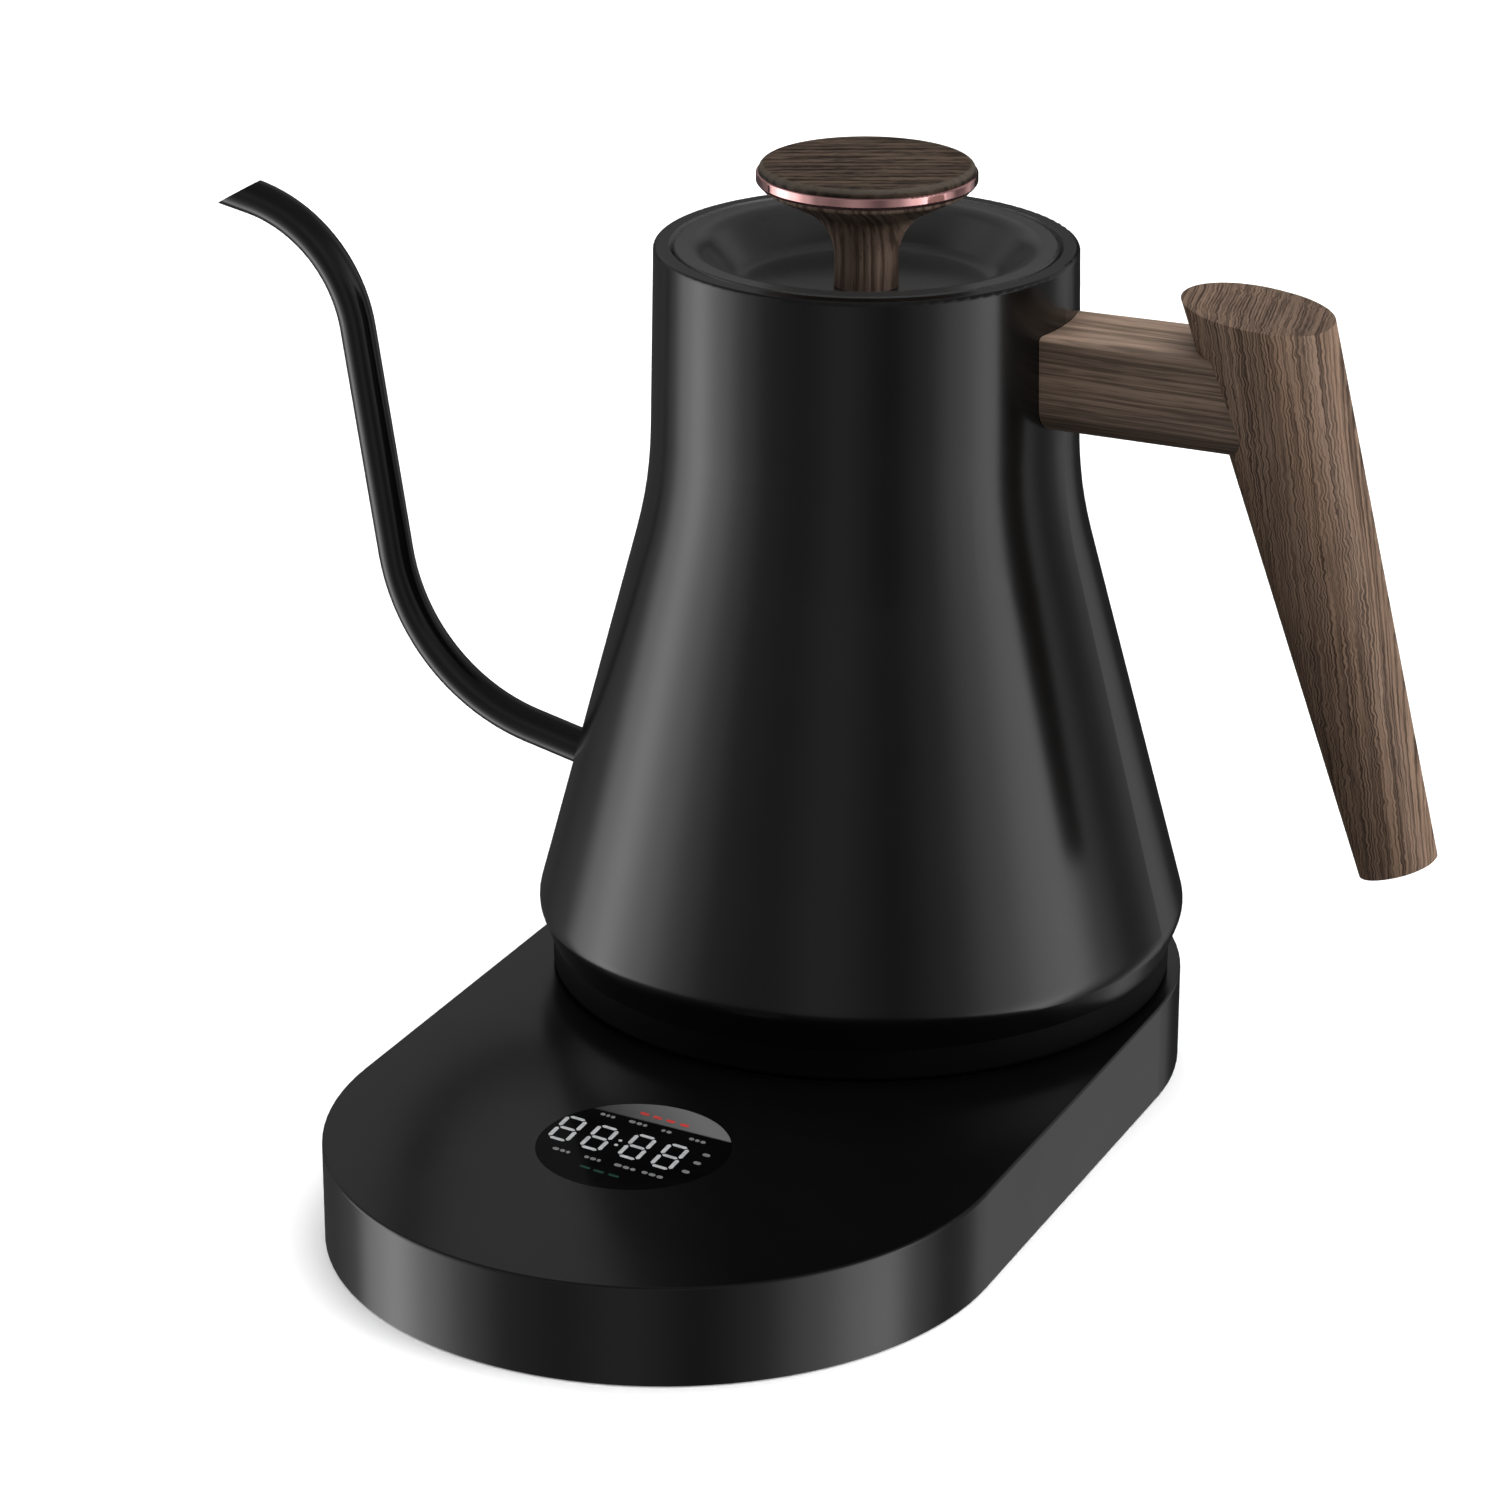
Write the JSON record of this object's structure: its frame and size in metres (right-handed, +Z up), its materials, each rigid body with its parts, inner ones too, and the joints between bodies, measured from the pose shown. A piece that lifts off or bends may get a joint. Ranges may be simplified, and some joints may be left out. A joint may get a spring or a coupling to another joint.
{
  "type": "gooseneck kettle",
  "caption": "Electric pour-over kettle with a slim gooseneck spout, slanted wooden handle, lift-off lid and a stadium-shaped power base with a round display.",
  "frame": {"origin": "point on the table under the kettle's vertical axis, at the centre of the middle rubber foot", "axes": "+Z up; +X from the kettle's axis towards the handle, with the spout at -X; -Y towards the display end of the base"},
  "size_m": [0.2879, 0.2427, 0.2022],
  "materials": {
    "painted_steel": "satin black paint",
    "plain_steel": "brushed stainless",
    "aluminium": "matt",
    "zinc_steel": "zinc plated",
    "rose_gold": "polished rose gold plating",
    "handle_wood": "open grain, matt oil",
    "knob_wood": "open grain, matt oil",
    "black_plastic": "fine grain",
    "black_glass": "gloss, opaque black",
    "rubber": "matt",
    "silicone": "translucent grey silicone",
    "circuit_board": "solder mask",
    "component": "moulded",
    "blue_plastic": "moulded",
    "copper": "plated contact metal"
  },
  "bodies": {
    "base": {"base_housing": "painted_steel", "base_plate": "black_plastic", "base_screws": "zinc_steel", "rubber_feet": "rubber", "base_socket": "black_plastic", "base_contacts": "copper", "shutter_spring": "plain_steel", "display_glass": "black_glass", "display_module": "component", "display_holder": "black_plastic", "control_board": "circuit_board", "board_posts": "black_plastic", "heater_relay": "component", "power_transformer": "component", "terminal_block": "component", "filter_capacitor": "blue_plastic", "buzzer": "component", "cord_inlet": "black_plastic"},
    "connector": {"connector_shutter": "black_plastic"},
    "kettle": {"kettle_body": "painted_steel", "spout_tube": "painted_steel", "vessel_floor": "plain_steel", "heat_diffuser": "aluminium", "heating_element": "plain_steel", "temperature_sensor": "plain_steel", "thermal_cutouts": "zinc_steel", "bottom_cover": "black_plastic", "weld_studs": "plain_steel", "cover_screws": "zinc_steel", "kettle_connector": "black_plastic", "kettle_contacts": "copper", "handle_bracket": "plain_steel", "handle_screw": "zinc_steel", "handle_dowels": "knob_wood", "handle_grip": "handle_wood", "handle_arm": "handle_wood"},
    "lid": {"lid_cover": "painted_steel", "lid_cup": "plain_steel", "lid_seal": "silicone", "knob_stem": "knob_wood", "knob_ring": "rose_gold", "knob_top": "knob_wood", "knob_washer": "zinc_steel", "knob_screw": "zinc_steel"}
  },
  "joints": [
    {"name": "kettle_swivel", "type": "hinge", "parent": "base", "child": "connector", "pos_m": [0, 0, 0.0216], "axis": [0, 0, 1], "continuous": true},
    {"name": "kettle_lift", "type": "slide", "parent": "connector", "child": "kettle", "axis": [0, 0, 1], "range_m": [0, 0.12]},
    {"name": "lid_lift", "type": "slide", "parent": "kettle", "child": "lid", "axis": [0, 0, 1], "range_m": [0, 0.06]}
  ]
}
